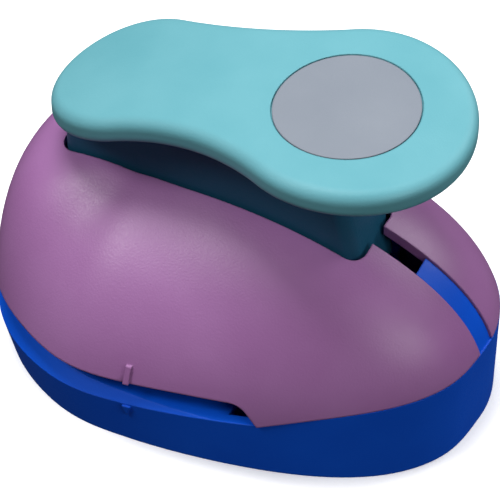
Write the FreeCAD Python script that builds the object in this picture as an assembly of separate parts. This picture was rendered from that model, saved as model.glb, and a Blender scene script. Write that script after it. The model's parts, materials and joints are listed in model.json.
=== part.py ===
import FreeCAD, Part
import math
import os
from FreeCAD import Vector

# A hand-held lever craft punch. Millimetres, +X to the rear (thumb pad), +Y to the left, +Z up.
# The origin is at the centre of the base's footprint, on the surface that the punch stands on.

# Driving dimensions of the outer form
PUNCH_D = 25.0          # diameter of the circle that is punched
EGG_X = -16.0           # station of the egg's widest section
EGG_FRONT = 29.4        # from the widest section to the front tip, at the bottom edge
EGG_REAR = 62.4         # from the widest section to the rear tip, at the bottom edge
EGG_HALF = 33.9         # half of the width at the bottom edge
EGG_N_SIDE = 1.92       # fullness of the outline at its sides
EGG_N_FRONT = 2.5       # and at its front tip
EGG_N_REAR = 2.3        # and at its rear tip
FLARE_FRONT = 2.0       # how far the base wall leans out in 10 mm of height, in front
FLARE_REAR = 0.0        # and at the rear
FLARE_Z = 10.0
RIM_Z = 11.6            # top of the base wall along the paper mouth, at x = 0
RIM_SLOPE = 0.08        # rise of that edge towards the rear
LIP_Z = 16.78           # lower edge of the cover along the paper mouth, at x = 0
LIP_SLOPE = 0.031
MOUTH_X = 10.4          # where the mouth's step starts
STEP_X = 15.8           # where the cover meets the base
SEAM_MID = (27.0, 17.2)     # poles of the joint line behind the mouth
SEAM_HIGH = (35.0, 20.1)
SEAM_REAR_Z = 20.2      # joint line at the rear tip
SEAM_GAP = 0.12         # gap of the joint line
WALL = 2.0              # wall of both mouldings
BEVEL = 1.1             # width of the slope from the rim to the paper deck, per mm of rise
DECK_Z = 12.2           # level of the paper deck
DECK_LEDGE = 0.05       # step between the wall's upper edge and the slope

# Dome of the cover: its ridge line, its fullness, and where its form starts inside the base
RIDGE = 41.8            # height of the ridge over the egg's widest section
RIDGE_SLOPE = 0.08      # rise of the ridge towards the rear
DOME_N_FRONT = 5.5
DOME_N_SIDE = 1.92
DOME_N_REAR = 2.25
DOME_N_TURN = 4.3       # how fast the fullness changes from the sides to the tips
DOME_BASE_Z = 4.5       # level where the dome's form starts, inside the base, at x = 0
DOME_BASE_SLOPE = 0.15  # rise of that level towards the rear
DOME_GROW_FRONT = 1.6   # how far the dome's lower outline stands outside the base's bottom edge
DOME_GROW_REAR = 1.1
DOME_BULGE = 5.1        # the flanks beside the mouth stand out further, by half of this

# Opening and slot in the cover
OPENING = (-35.6, 24.4)
OPENING_HALF = 7.7
OPENING_R = 3.0
SLOT_HALF = 2.3
RIB_X = 32.8            # front end of the base's spine rib
RIB_HALF = 2.1
RIB_DROP = 0.35         # how far the rib lies below the dome's surface
MARK_HALF = 0.55        # half of the width of the cover's centring mark
MARK_RISE = 0.45        # how far the centring marks stand proud

# Lever: its plate is arched along X, with the arch's highest line at ARCH
ARCH = (27.3, 67.6)
ARCH_R = 140.0
PLATE_T = 5.4
LOBE_FRONT = (-23.2, 15.2)
LOBE_REAR = (18.8, 21.2)
NECK_R = 52.0
PLATE_TOP_R = 2.2       # rounding of the plate's upper edge
PLATE_LOW_R = 2.0       # and of its lower edge
SKIRT = (-35.0, 25.1)
SKIRT_HALF = 7.2
SKIRT_WALL = 1.8
SKIRT_Z = 29.6          # lower edge of the lever's skirt
SKIRT_R = 2.6
SKIRT_LEAN = 12.0       # degrees by which the skirt's rear wall leans forward
DISC_X = 17.5
DISC_R = 12.65
DISC_T = 0.5
DISC_GAP = 0.25
DISC_SINK = 0.05

# Linkage
PIVOT = (-28.0, 33.0)   # station and height of the lever's pin
PIN_R = 1.5
PUNCH_X = -8.0          # station of the punch's axis
ROLLER_R = 4.0
ROLLER_PIN_R = 1.25
REST_GAP = 0.15         # between roller and carrier at rest
RUN = 0.05              # radial running clearance
EAR = (7.5, 9.1)        # inner and outer face of the bracket's ears
EAR_R = 4.0             # the ears' round top

# Die set
DIE_Z = (8.4, 12.4)
GUIDE_Z = (14.6, 18.6)
DIE_X = (-25.0, 18.0)
DIE_HALF = 22.5
SPACER_X = 10.0
TONGUE = (-40.0, 12.0)
CARRIER_X = 5.0         # half of the carrier's length
CARRIER_HALF = 22.4
CARRIER_Z = (24.6, 28.0)
ARM_Z = 25.8
CUTTER_Z = 14.9
POST_Y = 18.4
POST_R = 2.0
POST_TOP = CARRIER_Z[1] + 1.8
SPRING_R = 3.2
SPRING_WIRE = 0.45
SPRING_TURNS = 4.5
POCKET_R = 4.0
POCKET_Z = 16.6
ROLLER_Z = CARRIER_Z[1] + REST_GAP + ROLLER_R

# Screws: shank radius, head radius, head height
SCREW_R = 1.45
HEAD_R = 2.5
HEAD_H = 1.5
HOLE_R = 1.5
FLOOR = 2.0
SEAT_Z = 3.4            # seat of the screw heads that are sunk in the base from below
DIE_SCREWS = [(14.0, y) for y in (-18.0, -11.0, 11.0, 18.0)]
BASE_SCREWS = [(x, y) for x in (-21.0, 6.5) for y in (-18.6, 18.6)]
CASE_SCREWS = [(24.5, -19.0), (24.5, 19.0), (38.5, -8.6), (38.5, 8.6)]
BRACKET_SCREWS = [(-36.6, -4.2), (-36.6, 4.2)]
CASE_JOINT_Z = 13.0

RING_POINTS = 40
DOME_RINGS = [1.0, 0.995, 0.975, 0.94, 0.89, 0.82, 0.73, 0.62, 0.5, 0.36, 0.22, 0.1]

os.makedirs("parts", exist_ok=True)


def save(name, shape):
    shape.exportStep("parts/" + name + ".step")


def box(x, y, z):
    """A block from pairs of limits along each axis."""
    return Part.makeBox(x[1] - x[0], y[1] - y[0], z[1] - z[0], Vector(x[0], y[0], z[0]))


def rod(x, y, z, radius):
    """An upright cylinder between two heights."""
    return Part.makeCylinder(radius, z[1] - z[0], Vector(x, y, z[0]))


def cross_rod(x, z, y, radius):
    """A cylinder along Y between two stations."""
    return Part.makeCylinder(radius, y[1] - y[0], Vector(x, y[0], z), Vector(0, 1, 0))


def rounded_block(x, y, z, radius):
    """A block with its four upright edges rounded."""
    block = box(x, y, z)
    upright = [e for e in block.Edges if abs(e.tangentAt(e.FirstParameter).z) > 0.9]
    return block.makeFillet(radius, upright)


def egg_radius(angle, grow_front, grow_rear, inset):
    """Distance from the egg's centre to its outline, in the direction of an angle."""
    c, s = math.cos(angle), math.sin(angle)
    blend = (1 + c) / 2
    length = EGG_REAR + grow_rear if c > 0 else EGG_FRONT + grow_front
    half = EGG_HALF + grow_front * (1 - blend) + grow_rear * blend
    if c > 0:
        power = EGG_N_SIDE + (EGG_N_REAR - EGG_N_SIDE) * c ** 4
    else:
        power = EGG_N_SIDE + (EGG_N_FRONT - EGG_N_SIDE) * c ** 2
    along = (abs(c) / (length - inset)) ** power
    across = (abs(s) / (half - inset)) ** power
    return (along + across) ** (-1 / power)


def ring(point_at):
    """A closed smooth wire through the points that point_at gives around the egg."""
    angles = [2 * math.pi * i / RING_POINTS for i in range(RING_POINTS)]
    curve = Part.BSplineCurve()
    curve.interpolate([point_at(a) for a in angles], PeriodicFlag=True)
    return Part.Wire(curve.toShape())


def wall_point(angle, level, inset):
    """A point of the base wall, which leans outwards, at the height that level gives for x."""
    x = EGG_X
    for _ in range(4):
        share = level(x) / FLARE_Z
        r = egg_radius(angle, FLARE_FRONT * share, FLARE_REAR * share, inset)
        x = EGG_X + r * math.cos(angle)
    return Vector(x, r * math.sin(angle), level(x))


def base_ring(z, inset):
    return ring(lambda angle: wall_point(angle, lambda x: z, inset))


def base_form(z0, z1, inset):
    steps = 3
    levels = [z0 + (z1 - z0) * i / steps for i in range(steps + 1)]
    return Part.makeLoft([base_ring(z, inset) for z in levels], True, False)


def dome_power(angle):
    """Fullness of the dome in the direction of an angle."""
    c = math.cos(angle)
    end = DOME_N_REAR if c > 0 else DOME_N_FRONT
    return DOME_N_SIDE + (end - DOME_N_SIDE) * abs(c) ** DOME_N_TURN


def ridge_z(x):
    """Height of the dome's ridge line at a station."""
    return RIDGE + RIDGE_SLOPE * (x - EGG_X)


def dome_form(inset):
    """The cover's closed outer form, or the same form moved inwards by inset."""
    rings = []
    for scale in DOME_RINGS:
        last = scale == DOME_RINGS[-1]

        def point(angle):
            bulge = DOME_BULGE * math.sin(angle) ** 4 * (1 - math.cos(angle)) / 2
            r = scale * (egg_radius(angle, DOME_GROW_FRONT, DOME_GROW_REAR, inset) + bulge)
            x = EGG_X + r * math.cos(angle)
            power = dome_power(angle)
            rise = 1.0 if last else (1 - scale ** power) ** (1 / power)
            low = DOME_BASE_Z + DOME_BASE_SLOPE * x
            return Vector(x, r * math.sin(angle), low + (ridge_z(x) - inset - low) * rise)

        rings.append(ring(point))
    return Part.makeLoft(rings, True, False)


def side_prism(curves, y=60.0):
    """A prism along Y from a closed outline of edges in the XZ plane."""
    face = Part.Face(Part.Wire(curves))
    face.translate(Vector(0, -y, 0))
    return face.extrude(Vector(0, 2 * y, 0))


def line(a, b):
    return Part.LineSegment(Vector(a[0], 0, a[1]), Vector(b[0], 0, b[1])).toShape()


def step_curve(a, b):
    """A smooth step between two points, level at its first end."""
    mid = (a[0] + b[0]) / 2
    poles = [a, (mid, a[1]), (mid + 1.0, (a[1] + b[1]) / 2), b]
    curve = Part.BezierCurve()
    curve.setPoles([Vector(x, 0, z) for x, z in poles])
    return curve.toShape()


def seam_curve(offset):
    """The joint line behind the mouth, rising to the rear."""
    curve = Part.BezierCurve()
    poles = [(STEP_X, rim_z(STEP_X)), SEAM_MID, SEAM_HIGH, (60.0, SEAM_REAR_Z)]
    curve.setPoles([Vector(x, 0, z + offset) for x, z in poles])
    return curve.toShape()


def rim_z(x):
    return RIM_Z + RIM_SLOPE * x


def lip_z(x):
    return LIP_Z + LIP_SLOPE * x


def above_seam():
    """Everything above the cover's lower edge."""
    gap = SEAM_GAP / 2
    return side_prism([
        line((-60.0, 70.0), (-60.0, lip_z(-60.0))),
        line((-60.0, lip_z(-60.0)), (MOUTH_X, lip_z(MOUTH_X))),
        step_curve((MOUTH_X, lip_z(MOUTH_X)), (STEP_X, rim_z(STEP_X) + gap)),
        seam_curve(gap),
        line((60.0, SEAM_REAR_Z + gap), (60.0, 70.0)),
        line((60.0, 70.0), (-60.0, 70.0)),
    ])


def below_seam():
    """Everything below the base's upper edge."""
    gap = SEAM_GAP / 2
    return side_prism([
        line((-60.0, -5.0), (-60.0, rim_z(-60.0) - gap)),
        line((-60.0, rim_z(-60.0) - gap), (STEP_X, rim_z(STEP_X) - gap)),
        seam_curve(-gap),
        line((60.0, SEAM_REAR_Z - gap), (60.0, -5.0)),
        line((60.0, -5.0), (-60.0, -5.0)),
    ])


def screws(places, head_z, head_up, tip_z):
    """Identical screws: a head and a shank each, with a cross recess in the head."""
    solids = []
    for x, y in places:
        away = HEAD_H if head_up else -HEAD_H
        head = rod(x, y, sorted((head_z, head_z + away)), HEAD_R)
        shank = rod(x, y, sorted((head_z, tip_z)), SCREW_R)
        solid = head.fuse(shank).removeSplitter()
        face = head_z + away
        depth = 0.9 if head_up else -0.9
        z = sorted((face, face - depth))
        for bar_x, bar_y in ((1.5, 0.35), (0.35, 1.5)):
            solid = solid.cut(box((x - bar_x, x + bar_x), (y - bar_y, y + bar_y), z))
        solids.append(solid)
    return Part.makeCompound(solids)


# Base tray

def deck_form():
    """The paper deck in front: its edge slopes up and inwards from the rim."""
    def rim_ring(rise, inset):
        return ring(lambda angle: wall_point(angle, lambda x: rim_z(x) + rise, inset))

    top = -SEAM_GAP / 2
    plate = Part.makeLoft([rim_ring(-2.0, 1.0), rim_ring(top, 1.0)], True)
    slope = Part.makeLoft([rim_ring(top, DECK_LEDGE), rim_ring(8.0, 8.0 * BEVEL)], True)
    return plate.fuse(slope).common(box((-60.0, SPACER_X - 0.2), (-60.0, 60.0), (0.0, DECK_Z)))


def wall_mark():
    """Small triangles on the base's wall, pointing down from the rim beside the punch's centre."""
    z = rim_z(PUNCH_X) - 0.4
    corners = [(PUNCH_X - 0.8, z), (PUNCH_X + 0.8, z), (PUNCH_X, z - 2.6)]
    wedge = side_prism([line(corners[i], corners[(i + 1) % 3]) for i in range(3)])
    return wedge.common(base_form(0.0, FLARE_Z + 4.0, -MARK_RISE))


def base_tray(dome_rib):
    top = SEAM_REAR_Z + 6.0
    outer = base_form(0.0, top, 0.0)
    inner = base_form(FLOOR, top, WALL)
    wall = outer.fuse(wall_mark()).cut(inner).common(below_seam())
    across = DIE_HALF + 0.2
    pocket = rounded_block((DIE_X[0] - 0.2, SPACER_X + 20.0), (-across, across), (0.0, 20.0), 2.0)
    tray = wall.fuse(deck_form().cut(pocket))
    for x, y in BASE_SCREWS:
        tray = tray.fuse(rod(x, y, (FLOOR - 0.5, DIE_Z[0]), 4.2))
    for x, y in CASE_SCREWS:
        tray = tray.fuse(rod(x, y, (FLOOR - 0.5, CASE_JOINT_Z - 0.1), 4.2))
    rib = dome_rib.common(box((RIB_X, 60.0), (-RIB_HALF, RIB_HALF), (FLOOR - 0.5, 60.0)))
    tray = tray.fuse(rib.common(base_form(0.0, 60.0, 0.0)))
    tray = tray.cut(rod(PUNCH_X, 0, (-1.0, FLOOR + 1.0), PUNCH_D / 2 + 2.0))
    for x, y in BASE_SCREWS + CASE_SCREWS:
        tray = tray.cut(rod(x, y, (-1.0, SEAT_Z), HEAD_R + 0.4))
        tray = tray.cut(rod(x, y, (0.0, 20.0), HOLE_R))
    return tray.removeSplitter()


# Cover

def top_cover(outer):
    lip = lip_z(PUNCH_X)
    mark = box((PUNCH_X - MARK_HALF, PUNCH_X + MARK_HALF), (-60.0, 60.0), (lip, lip + 3.4))
    shell = outer.fuse(mark.common(dome_form(-MARK_RISE))).cut(dome_form(WALL))
    for x, y in CASE_SCREWS:
        boss = rod(x, y, (CASE_JOINT_Z, 60.0), 3.4)
        shell = shell.fuse(boss.common(outer))
    shell = shell.common(above_seam().fuse(Part.makeCompound([
        rod(x, y, (CASE_JOINT_Z, 40.0), 3.4) for x, y in CASE_SCREWS])))
    for x, y in CASE_SCREWS:
        shell = shell.cut(rod(x, y, (CASE_JOINT_Z - 1.0, CASE_JOINT_Z + 7.0), SCREW_R + 0.02))
    opening = rounded_block(OPENING, (-OPENING_HALF, OPENING_HALF), (20.0, 70.0), OPENING_R)
    shell = shell.cut(opening)
    shell = shell.cut(box((OPENING[1] - 4.0, 60.0), (-SLOT_HALF, SLOT_HALF), (5.0, 70.0)))
    return shell.removeSplitter()


# Lever

def arch_slab(top, bottom):
    """The space between two depths below the plate's arched top surface, as a prism along Y."""
    centre_z = ARCH[1] - ARCH_R
    arcs = []
    for radius in (ARCH_R - top, ARCH_R - bottom):
        points = []
        for x in (-60.0, 0.0, 60.0):
            points.append(Vector(x, 0, centre_z + math.sqrt(radius ** 2 - (x - ARCH[0]) ** 2)))
        arcs.append(points)
    upper, lower = arcs
    return side_prism([
        Part.Arc(*upper).toShape(),
        Part.LineSegment(upper[2], lower[2]).toShape(),
        Part.Arc(*lower).toShape(),
        Part.LineSegment(lower[0], upper[0]).toShape(),
    ])


def plate_wire(z):
    """The plate's peanut outline: two round lobes joined by two hollow arcs."""
    (xf, rf), (xr, rr) = LOBE_FRONT, LOBE_REAR
    reach_f, reach_r, apart = rf + NECK_R, rr + NECK_R, xr - xf
    along = (reach_f ** 2 - reach_r ** 2 + apart ** 2) / (2 * apart)
    side = math.sqrt(reach_f ** 2 - along ** 2)
    neck_x = xf + along

    def touch(x, r, reach, sign):
        return Vector(x + (neck_x - x) * r / reach, sign * side * r / reach, z)

    edges = []
    for sign in (1, -1):
        start = touch(xf, rf, reach_f, sign)
        end = touch(xr, rr, reach_r, sign)
        lowest = Vector(neck_x, sign * (side - NECK_R), z)
        edges.append(Part.Arc(start, lowest, end).toShape())
    tips = [(xf - rf, xf, rf, reach_f), (xr + rr, xr, rr, reach_r)]
    for tip_x, x, r, reach in tips:
        ends = [touch(x, r, reach, sign) for sign in (1, -1)]
        edges.append(Part.Arc(ends[0], Vector(tip_x, 0, z), ends[1]).toShape())
    return Part.Wire(Part.__sortEdges__(edges))


def on_arch(edge, depth):
    """Whether an edge lies on the arched surface at a depth below the plate's top."""
    centre = Vector(ARCH[0], 0, ARCH[1] - ARCH_R)
    point = edge.valueAt((edge.FirstParameter + edge.LastParameter) / 2)
    return abs(math.hypot(point.x - centre.x, point.z - centre.z) - ARCH_R + depth) < 0.01


def lever_plate():
    outline = Part.Face(plate_wire(40.0)).extrude(Vector(0, 0, 40.0))
    slab = outline.common(arch_slab(0.0, PLATE_T))
    slab = slab.makeFillet(PLATE_TOP_R, [e for e in slab.Edges if on_arch(e, 0.0)])
    return slab.makeFillet(PLATE_LOW_R, [e for e in slab.Edges if on_arch(e, PLATE_T)])


def skirt_block(inset, z0, z1, radius):
    """The skirt's outer block, or its inside when inset is the wall's thickness."""
    lean = math.tan(math.radians(SKIRT_LEAN))
    front, rear, half = SKIRT[0] + inset, SKIRT[1] - inset, SKIRT_HALF - inset
    corners = [(front, z0), (rear - lean * (z0 - SKIRT_Z), z0), (rear - lean * (z1 - SKIRT_Z), z1), (front, z1)]
    edges = [line(corners[i], corners[(i + 1) % 4]) for i in range(4)]
    block = side_prism(edges, half)
    upright = [e for e in block.Edges if abs(e.tangentAt(e.FirstParameter).z) > 0.9]
    return block.makeFillet(radius, upright)


def lever():
    under = arch_slab(PLATE_T / 2, 45.0)
    skirt = skirt_block(0.0, SKIRT_Z, ARCH[1], SKIRT_R).common(under)
    inside = skirt_block(SKIRT_WALL, SKIRT_Z - 1.0, ARCH[1], SKIRT_R - SKIRT_WALL)
    inside = inside.common(arch_slab(PLATE_T, 45.0))
    body = lever_plate().fuse(skirt).cut(inside)
    pocket = rod(DISC_X, 0, (ARCH[1] - 10.0, ARCH[1] + 5.0), DISC_R + DISC_GAP)
    body = body.cut(pocket.common(arch_slab(-2.0, DISC_T + DISC_SINK)))
    body = body.cut(cross_rod(PIVOT[0], PIVOT[1], (-10.0, 10.0), PIN_R + RUN))
    body = body.cut(cross_rod(PUNCH_X, ROLLER_Z, (-10.0, 10.0), ROLLER_PIN_R))
    return body.removeSplitter()


def lever_disc():
    disc = rod(DISC_X, 0, (ARCH[1] - 10.0, ARCH[1] + 5.0), DISC_R)
    return disc.common(arch_slab(DISC_SINK, DISC_T + DISC_SINK))


# Linkage

def press_roller():
    wheel = cross_rod(PUNCH_X, ROLLER_Z, (-4.8, 4.8), ROLLER_R)
    rims = [e for e in wheel.Edges if isinstance(e.Curve, Part.Circle)]
    wheel = wheel.makeChamfer(0.4, rims)
    return wheel.cut(cross_rod(PUNCH_X, ROLLER_Z, (-6.0, 6.0), ROLLER_PIN_R + RUN))


def roller_pin():
    return cross_rod(PUNCH_X, ROLLER_Z, (-SKIRT_HALF, SKIRT_HALF), ROLLER_PIN_R)


def pivot_bracket():
    z0 = GUIDE_Z[1]
    shape = box((TONGUE[0], -30.0), (-EAR[1], EAR[1]), (z0, z0 + EAR[1] - EAR[0]))
    for sign in (-1, 1):
        y = sorted((sign * EAR[0], sign * EAR[1]))
        ear = side_prism([
            line((PIVOT[0] - 9.0, z0), (PIVOT[0] + EAR_R, z0 + 4.0)),
            line((PIVOT[0] + EAR_R, z0 + 4.0), (PIVOT[0] + EAR_R, PIVOT[1])),
            Part.Arc(Vector(PIVOT[0] + EAR_R, 0, PIVOT[1]), Vector(PIVOT[0], 0, PIVOT[1] + EAR_R),
                     Vector(PIVOT[0] - EAR_R, 0, PIVOT[1])).toShape(),
            line((PIVOT[0] - EAR_R, PIVOT[1]), (PIVOT[0] - 9.0, z0 + 5.0)),
            line((PIVOT[0] - 9.0, z0 + 5.0), (PIVOT[0] - 9.0, z0)),
        ]).common(box((-60.0, 60.0), y, (0.0, 60.0)))
        shape = shape.fuse(ear)
    shape = shape.cut(cross_rod(PIVOT[0], PIVOT[1], (-12.0, 12.0), PIN_R))
    for x, y in BRACKET_SCREWS:
        shape = shape.cut(rod(x, y, (z0 - 1.0, z0 + 4.0), HOLE_R))
    return shape.removeSplitter()


def lever_pin():
    pin = cross_rod(PIVOT[0], PIVOT[1], (-EAR[1] - 1.6, EAR[1] + 1.6), PIN_R)
    return pin.makeChamfer(0.3, [e for e in pin.Edges if isinstance(e.Curve, Part.Circle)])


def pin_clips():
    """Push-on retainers at the lever pin's two ends."""
    clips = []
    for sign in (-1, 1):
        y = sorted((sign * EAR[1], sign * (EAR[1] + 0.8)))
        clip = cross_rod(PIVOT[0], PIVOT[1], y, PIN_R + 1.3)
        clip = clip.cut(cross_rod(PIVOT[0], PIVOT[1], (-20.0, 20.0), PIN_R))
        clips.append(clip)
    return Part.makeCompound(clips)


# Die set

def die_plate():
    plate = rounded_block(DIE_X, (-DIE_HALF, DIE_HALF), DIE_Z, 2.0)
    plate = plate.cut(rod(PUNCH_X, 0, (0.0, 20.0), PUNCH_D / 2 + RUN))
    plate = plate.cut(Part.makeCone(PUNCH_D / 2 + 1.6, PUNCH_D / 2 + RUN, 2.4, Vector(PUNCH_X, 0, DIE_Z[0] - 0.01)))
    for x, y in BASE_SCREWS:
        plate = plate.cut(rod(x, y, (DIE_Z[0] - 1.0, DIE_Z[1] - 1.2), SCREW_R))
    for x, y in DIE_SCREWS:
        plate = plate.cut(rod(x, y, (DIE_Z[0] + 0.8, DIE_Z[1] + 1.0), SCREW_R))
    return plate


def throat_spacer():
    bar = rounded_block((SPACER_X, DIE_X[1]), (-DIE_HALF, DIE_HALF), (DIE_Z[1], GUIDE_Z[0]), 1.5)
    for x, y in DIE_SCREWS:
        bar = bar.cut(rod(x, y, (0.0, 30.0), HOLE_R))
    return bar


def guide_plate():
    main_plate = rounded_block((DIE_X[0] + 2.0, DIE_X[1]), (-DIE_HALF, DIE_HALF), GUIDE_Z, 2.0)
    tongue = rounded_block((TONGUE[0], DIE_X[0] + 8.0), (-TONGUE[1], TONGUE[1]), GUIDE_Z, 2.0)
    plate = main_plate.fuse(tongue).removeSplitter()
    plate = plate.cut(rod(PUNCH_X, 0, (0.0, 30.0), PUNCH_D / 2 + RUN))
    for sign in (-1, 1):
        plate = plate.cut(rod(PUNCH_X, sign * POST_Y, (POCKET_Z, 30.0), POCKET_R))
        plate = plate.cut(rod(PUNCH_X, sign * POST_Y, (0.0, 30.0), POST_R))
    for x, y in DIE_SCREWS:
        plate = plate.cut(rod(x, y, (0.0, 30.0), HOLE_R))
    for x, y in BRACKET_SCREWS:
        plate = plate.cut(rod(x, y, (GUIDE_Z[0] + 0.6, 30.0), SCREW_R))
    return plate


def punch_cutter():
    """The round cutter, hollow from below so that it cuts at its rim."""
    cutter = rod(PUNCH_X, 0, (CUTTER_Z, CARRIER_Z[0]), PUNCH_D / 2)
    cutter = cutter.cut(rod(PUNCH_X, 0, (CUTTER_Z - 1.0, CUTTER_Z + 3.0), PUNCH_D / 2 - 2.0))
    for sign in (-1, 1):
        cutter = cutter.cut(rod(PUNCH_X, sign * 8.0, (CARRIER_Z[0] - 5.0, 40.0), SCREW_R))
    return cutter


def punch_carrier():
    """The bridge on the two posts that the lever's roller presses on."""
    x = (PUNCH_X - CARRIER_X, PUNCH_X + CARRIER_X)
    bridge = rounded_block(x, (-CARRIER_HALF, CARRIER_HALF), CARRIER_Z, 3.0)
    for sign in (-1, 1):
        y = sorted((sign * 14.0, sign * 30.0))
        bridge = bridge.cut(box((x[0] - 1.0, x[1] + 1.0), y, (CARRIER_Z[0] - 1.0, ARM_Z)))
        bridge = bridge.cut(rod(PUNCH_X, sign * POST_Y, (0.0, 40.0), POST_R + RUN))
        bridge = bridge.cut(rod(PUNCH_X, sign * 8.0, (0.0, 40.0), HOLE_R))
        bridge = bridge.cut(rod(PUNCH_X, sign * 8.0, (CARRIER_Z[1] - HEAD_H - 0.2, 40.0), HEAD_R + 0.2))
    return bridge


def spring_post(sign):
    y = sign * POST_Y
    post = rod(PUNCH_X, y, (GUIDE_Z[0] + 0.4, POST_TOP), POST_R)
    return post.makeChamfer(0.3, [post.Edges[0], post.Edges[2]])


def post_caps():
    """Push-on retainers at the posts' tops, which the carrier rests against."""
    caps = []
    for sign in (-1, 1):
        cap = rod(PUNCH_X, sign * POST_Y, (CARRIER_Z[1] + 0.05, CARRIER_Z[1] + 1.25), POST_R + 1.5)
        caps.append(cap.cut(rod(PUNCH_X, sign * POST_Y, (0.0, 60.0), POST_R)))
    return Part.makeCompound(caps)


def return_spring(sign):
    """A compression spring between the guide plate's pocket and the carrier's arm."""
    z0, z1 = POCKET_Z + SPRING_WIRE, ARM_Z - SPRING_WIRE
    coil = Part.makeHelix((z1 - z0) / SPRING_TURNS, z1 - z0, SPRING_R)
    section = Part.Wire(Part.makeCircle(SPRING_WIRE, Vector(SPRING_R, 0, 0), Vector(0, 1, 0)))
    spring = Part.Wire(coil).makePipeShell([section], True, True)
    spring.translate(Vector(PUNCH_X, sign * POST_Y, z0))
    return spring


def main():
    outer = dome_form(0.0)
    save("base_tray", base_tray(dome_form(RIB_DROP)))
    save("top_cover", top_cover(outer))
    save("lever", lever())
    save("lever_disc", lever_disc())
    save("lever_pin", lever_pin())
    save("pin_clips", pin_clips())
    save("press_roller", press_roller())
    save("roller_pin", roller_pin())
    save("pivot_bracket", pivot_bracket())
    save("die_plate", die_plate())
    save("throat_spacer", throat_spacer())
    save("guide_plate", guide_plate())
    save("punch_cutter", punch_cutter())
    save("punch_carrier", punch_carrier())
    save("post_caps", post_caps())
    for side, sign in (("left", 1), ("right", -1)):
        save("spring_post_" + side, spring_post(sign))
        save("return_spring_" + side, return_spring(sign))
    save("die_screws", screws(DIE_SCREWS, GUIDE_Z[1], True, DIE_Z[0] + 1.2))
    save("bracket_screws", screws(BRACKET_SCREWS, GUIDE_Z[1] + EAR[1] - EAR[0], True, GUIDE_Z[0] + 1.0))
    save("base_screws", screws(BASE_SCREWS, SEAT_Z, False, DIE_Z[1] - 1.6))
    save("case_screws", screws(CASE_SCREWS, SEAT_Z, False, CASE_JOINT_Z + 6.5))
    places = [(PUNCH_X, -8.0), (PUNCH_X, 8.0)]
    save("carrier_screws", screws(places, CARRIER_Z[1] - HEAD_H - 0.2, True, CARRIER_Z[0] - 4.5))


main()
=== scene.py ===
import json
import math

import bpy
from mathutils import Matrix, Vector


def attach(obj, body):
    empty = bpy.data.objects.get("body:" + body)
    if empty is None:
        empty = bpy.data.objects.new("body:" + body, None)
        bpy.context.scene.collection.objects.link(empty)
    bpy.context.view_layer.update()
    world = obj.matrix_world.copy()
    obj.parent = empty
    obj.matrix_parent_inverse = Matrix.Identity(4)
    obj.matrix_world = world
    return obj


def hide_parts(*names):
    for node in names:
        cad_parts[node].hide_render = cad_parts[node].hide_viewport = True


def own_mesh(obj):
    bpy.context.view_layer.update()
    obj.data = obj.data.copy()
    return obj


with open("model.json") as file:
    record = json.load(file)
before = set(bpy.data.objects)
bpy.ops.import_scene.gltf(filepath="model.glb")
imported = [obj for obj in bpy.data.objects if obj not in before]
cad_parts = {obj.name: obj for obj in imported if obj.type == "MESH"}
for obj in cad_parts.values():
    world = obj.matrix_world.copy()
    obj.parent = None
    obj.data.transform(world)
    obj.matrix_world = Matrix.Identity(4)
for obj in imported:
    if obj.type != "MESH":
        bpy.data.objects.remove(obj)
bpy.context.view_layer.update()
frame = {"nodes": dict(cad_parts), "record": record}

# Viewpoint of the product shot, in the row frame: metres and degrees
AZIMUTH = 27.0
ELEVATION = 48.1
DISTANCE = 0.521
TARGET = Vector((-0.0008, 0.0, 0.0216))
LENS = 206.0
SENSOR = 36.0

# Studio: place, size and power of each soft box, and the strength of the white surroundings
SOFT_BOXES = {
    "key": ((-0.12, 0.06, 0.75), 0.34, 3.5),
    "front": ((-0.36, -0.34, 0.62), 0.22, 1.8),
    "rear": ((0.30, 0.55, 0.50), 0.35, 2.0),
    "side": ((0.62, -0.22, 0.40), 0.35, 1.4),
}
SURROUNDINGS = 0.03
FLOOR_HALF = 3.0
FLOOR_GLOW = 0.60               # lifts the floor to white, like a lit table, outside the object's foot
FLOOR_SHADE = (0.050, 0.036)    # half axes of the foot's ellipse, in metres
FLOOR_FADE = 0.2                # share of the way to its middle over which the glow goes out
FLOOR_TONES = (0.90, 0.90, 0.90), (0.92, 0.92, 0.92)
FLOOR_GRAIN_SCALE = 400.0       # per metre

# Plastics: dark and light tone, roughness, depth of the moulded grain in metres, specular level
PLASTICS = {
    "base_plastic": ((0.002, 0.115, 0.88), (0.004, 0.135, 0.96), 0.42, 3.0e-5, 0.30),
    "cover_plastic": ((0.43, 0.18, 0.45), (0.475, 0.215, 0.50), 0.40, 6.0e-5, 0.60),
    "lever_plastic": ((0.155, 0.47, 0.545), (0.19, 0.52, 0.595), 0.48, 5.0e-5, 0.28),
    "disc_grey": ((0.27, 0.305, 0.365), (0.305, 0.34, 0.40), 0.50, 5.0e-5, 0.40),
    "roller_plastic": ((0.76, 0.75, 0.70), (0.82, 0.81, 0.76), 0.40, 2.0e-5, 0.40),
}
# Metals: dark and light tone, roughness, stretch of the brush marks along X
METALS = {
    "tool_metal": ((0.40, 0.40, 0.41), (0.55, 0.55, 0.56), 0.28, 0.08),
    "plated_steel": ((0.50, 0.51, 0.50), (0.62, 0.63, 0.62), 0.34, 0.5),
    "steel": ((0.52, 0.52, 0.54), (0.62, 0.62, 0.64), 0.22, 0.3),
    "spring_steel": ((0.34, 0.34, 0.36), (0.46, 0.46, 0.48), 0.30, 1.0),
    "screw_steel": ((0.46, 0.46, 0.47), (0.60, 0.60, 0.61), 0.30, 1.0),
}
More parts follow.
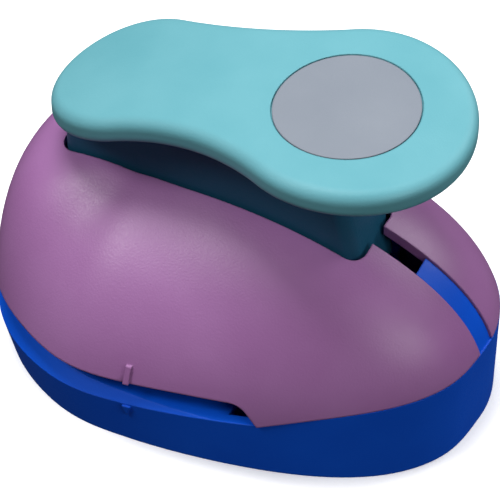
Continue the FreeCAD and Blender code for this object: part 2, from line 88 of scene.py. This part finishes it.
# Axis of the lever plate's arch and the radii between which the painted shade on its skirt ends, in
# metres, and the tone of that painted shade, which multiplies the plastic's own and stands for the
# plate's shadow on the skirt
ARCH_X, ARCH_Z = 0.0273, -0.0724
ARCH_UNDER = (0.1335, 0.1362)
# painted shade: the darker tone of the lever's skirt under its plate
SKIRT_PAINTED_SHADE = (0.08, 0.21, 0.33)
EDGE_ROUND = 0.0004     # radius that sharp edges seem to have, in metres
TONE_SCALE = 55.0       # blotches of tone, per metre
STAIN_SCALE = 330.0     # stains on metal, per metre
GRAIN_SCALE = 2600.0    # moulded grain, per metre
BRUSH_SCALE = 2200.0    # brush marks, per metre
BRUSH_DEPTH = 1.0e-5    # in metres
NOISE_LOW, NOISE_HIGH = 0.3, 0.7    # part of the noise's range that is spread out


def camera():
    """The camera at the product shot's viewpoint."""
    azimuth, elevation = math.radians(AZIMUTH), math.radians(ELEVATION)
    back = Vector((
        math.sin(azimuth) * math.cos(elevation),
        -math.cos(azimuth) * math.cos(elevation),
        math.sin(elevation),
    ))
    data = bpy.data.cameras.new("camera")
    data.lens = LENS
    data.sensor_width = SENSOR
    data.clip_start = 0.01
    obj = bpy.data.objects.new("camera", data)
    bpy.context.scene.collection.objects.link(obj)
    turn = (-back).to_track_quat("-Z", "Y").to_matrix().to_4x4()
    obj.matrix_world = Matrix.Translation(TARGET + back * DISTANCE) @ turn
    bpy.context.scene.camera = obj


def soft_box(name, place, size, power):
    """A square area light turned to the object."""
    data = bpy.data.lights.new(name, "AREA")
    data.size = size
    data.energy = power
    obj = bpy.data.objects.new(name, data)
    bpy.context.scene.collection.objects.link(obj)
    obj.location = place
    obj.rotation_euler = (TARGET - Vector(place)).to_track_quat("-Z", "Y").to_euler()


class Nodes:
    """A new material's node tree, with short calls for adding and joining nodes."""

    def __init__(self, name):
        self.material = bpy.data.materials.new(name)
        self.material.use_nodes = True
        self.tree = self.material.node_tree
        self.shader = self.tree.nodes["Principled BSDF"]

    def add(self, kind, **inputs):
        node = self.tree.nodes.new(kind)
        for key, value in inputs.items():
            node.inputs[key.replace("_", " ")].default_value = value
        return node

    def join(self, source, output, target, socket):
        self.tree.links.new(source.outputs[output], target.inputs[socket])

    def noise(self, scale, detail, stretch=(1.0, 1.0, 1.0)):
        """Noise in the object's own coordinates."""
        place = self.add("ShaderNodeTexCoord")
        mapping = self.add("ShaderNodeMapping", Scale=stretch)
        noise = self.add("ShaderNodeTexNoise", Scale=scale, Detail=detail)
        self.join(place, "Object", mapping, "Vector")
        self.join(mapping, "Vector", noise, "Vector")
        return noise

    def ramp(self, source, output, low, high):
        """Turn a value into a colour between two stops, each a place and a colour."""
        ramp = self.add("ShaderNodeValToRGB")
        for stop, (place, colour) in zip(ramp.color_ramp.elements, (low, high)):
            stop.position = place
            stop.color = (*colour, 1.0)
        self.join(source, output, ramp, "Fac")
        return ramp

    def tone(self, noise, dark, light):
        """Turn noise into a tone between dark and light."""
        return self.ramp(noise, "Fac", (NOISE_LOW, dark), (NOISE_HIGH, light))

    def spread(self, noise, low, high):
        """Turn noise into values between low and high."""
        span = self.add("ShaderNodeMapRange")
        span.inputs["From Min"].default_value = NOISE_LOW
        span.inputs["From Max"].default_value = NOISE_HIGH
        span.inputs["To Min"].default_value = low
        span.inputs["To Max"].default_value = high
        self.join(noise, "Fac", span, "Value")
        return span

    def paint_skirt_shade(self, tone):
        """Paint shade on the skirt below the underside of the lever's arched plate, where the plate
        shadows it.
        """
        place = self.add("ShaderNodeTexCoord")
        axis = self.add("ShaderNodeMapping", Location=(-ARCH_X, 0.0, -ARCH_Z), Scale=(1.0, 0.0, 1.0))
        reach = self.add("ShaderNodeVectorMath")
        reach.operation = "LENGTH"
        self.join(place, "Object", axis, "Vector")
        self.join(axis, "Vector", reach, 0)
        span = self.add("ShaderNodeMapRange")
        span.inputs["From Min"].default_value = ARCH_UNDER[0]
        span.inputs["From Max"].default_value = ARCH_UNDER[1]
        self.join(reach, "Value", span, "Value")
        ramp = self.ramp(span, "Result", (0.0, SKIRT_PAINTED_SHADE), (1.0, (1.0, 1.0, 1.0)))
        mix = self.add("ShaderNodeMixRGB", Fac=1.0)
        mix.blend_type = "MULTIPLY"
        self.join(tone, "Color", mix, "Color1")
        self.join(ramp, "Color", mix, "Color2")
        return mix

    def bump(self, noise, depth, strength):
        """A fine grain over the surface, whose sharp edges look slightly rounded."""
        edge = self.add("ShaderNodeBevel", Radius=EDGE_ROUND)
        bump = self.add("ShaderNodeBump", Strength=strength, Distance=depth)
        self.join(edge, "Normal", bump, "Normal")
        self.join(noise, "Fac", bump, "Height")
        self.join(bump, "Normal", self.shader, "Normal")


def plastic(name, dark, light, roughness, grain, specular):
    """Moulded plastic: slight unevenness of tone, and a fine satin grain."""
    nodes = Nodes(name)
    blotch = nodes.noise(TONE_SCALE, 3.0)
    fine = nodes.noise(GRAIN_SCALE, 2.0)
    tone = nodes.tone(blotch, dark, light)
    # The lever's skirt gets painted shade below its plate
    if name == "lever_plastic":
        tone = nodes.paint_skirt_shade(tone)
    sheen = nodes.spread(fine, roughness - 0.05, roughness + 0.06)
    nodes.join(tone, "Color", nodes.shader, "Base Color")
    nodes.join(sheen, "Result", nodes.shader, "Roughness")
    nodes.bump(fine, grain, 0.6)
    nodes.shader.inputs["Specular IOR Level"].default_value = specular
    return nodes.material


def metal(name, dark, light, roughness, stretch):
    """Metal with fine brush marks along X and slight staining."""
    nodes = Nodes(name)
    nodes.shader.inputs["Metallic"].default_value = 1.0
    brush = nodes.noise(BRUSH_SCALE, 2.0, (stretch, 1.0, 1.0))
    stain = nodes.noise(STAIN_SCALE, 4.0)
    nodes.join(nodes.tone(stain, dark, light), "Color", nodes.shader, "Base Color")
    sheen = nodes.spread(brush, roughness - 0.06, roughness + 0.10)
    nodes.join(sheen, "Result", nodes.shader, "Roughness")
    nodes.bump(brush, BRUSH_DEPTH, 0.5)
    return nodes.material


def floor():
    """A pale floor that glows to white, except under the object's foot."""
    mesh = bpy.data.meshes.new("floor")
    half = FLOOR_HALF
    corners = [(-half, -half, 0.0), (half, -half, 0.0), (half, half, 0.0), (-half, half, 0.0)]
    mesh.from_pydata(corners, [], [(0, 1, 2, 3)])
    obj = bpy.data.objects.new("floor", mesh)
    bpy.context.scene.collection.objects.link(obj)
    nodes = Nodes("floor")
    grain = nodes.noise(FLOOR_GRAIN_SCALE, 2.0)
    nodes.join(nodes.tone(grain, *FLOOR_TONES), "Color", nodes.shader, "Base Color")
    nodes.shader.inputs["Roughness"].default_value = 0.9
    nodes.shader.inputs["Specular IOR Level"].default_value = 0.1
    nodes.shader.inputs["Emission Color"].default_value = (1.0, 1.0, 1.0, 1.0)
    place = nodes.add("ShaderNodeTexCoord")
    long_half, wide_half = FLOOR_SHADE
    reach = nodes.add("ShaderNodeMapping", Scale=(1.0 / long_half, 1.0 / wide_half, 1.0))
    shade = nodes.add("ShaderNodeTexGradient")
    shade.gradient_type = "SPHERICAL"
    glow = nodes.add("ShaderNodeMapRange")
    glow.inputs["From Max"].default_value = FLOOR_FADE
    glow.inputs["To Min"].default_value = FLOOR_GLOW
    glow.inputs["To Max"].default_value = 0.0
    nodes.join(place, "Object", reach, "Vector")
    nodes.join(reach, "Vector", shade, "Vector")
    nodes.join(shade, "Fac", glow, "Value")
    nodes.join(glow, "Result", nodes.shader, "Emission Strength")
    mesh.materials.append(nodes.material)
    obj.visible_diffuse = False
    obj.visible_glossy = False


def studio():
    """Soft boxes, faint white surroundings and the floor."""
    for name, (place, size, power) in SOFT_BOXES.items():
        soft_box(name, place, size, power)
    world = bpy.data.worlds.new("studio")
    world.use_nodes = True
    background = world.node_tree.nodes["Background"]
    background.inputs["Color"].default_value = (1.0, 1.0, 1.0, 1.0)
    background.inputs["Strength"].default_value = SURROUNDINGS
    bpy.context.scene.world = world
    bpy.context.scene.view_settings.view_transform = "Standard"
    floor()


def finishes():
    """Give each CAD node the material of its slot."""
    materials = {name: plastic(name, *values) for name, values in PLASTICS.items()}
    materials.update({name: metal(name, *values) for name, values in METALS.items()})
    for part in frame["record"]["subparts"]:
        mesh = frame["nodes"][part["node"]].data
        mesh.materials.clear()
        mesh.materials.append(materials[part["material_slot"]])


def springs():
    """The return springs as separate pieces with their own meshes, attached to the base in place of
    their hidden CAD nodes.
    """
    for side in ("left", "right"):
        node = frame["nodes"]["return_spring_" + side]
        piece = bpy.data.objects.new("spring_" + side, node.data.copy())
        bpy.context.scene.collection.objects.link(piece)
        piece.matrix_world = node.matrix_world.copy()
        bpy.context.view_layer.update()
        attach(piece, "base")
        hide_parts("return_spring_" + side)
        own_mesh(piece)


camera()
studio()
finishes()
springs()
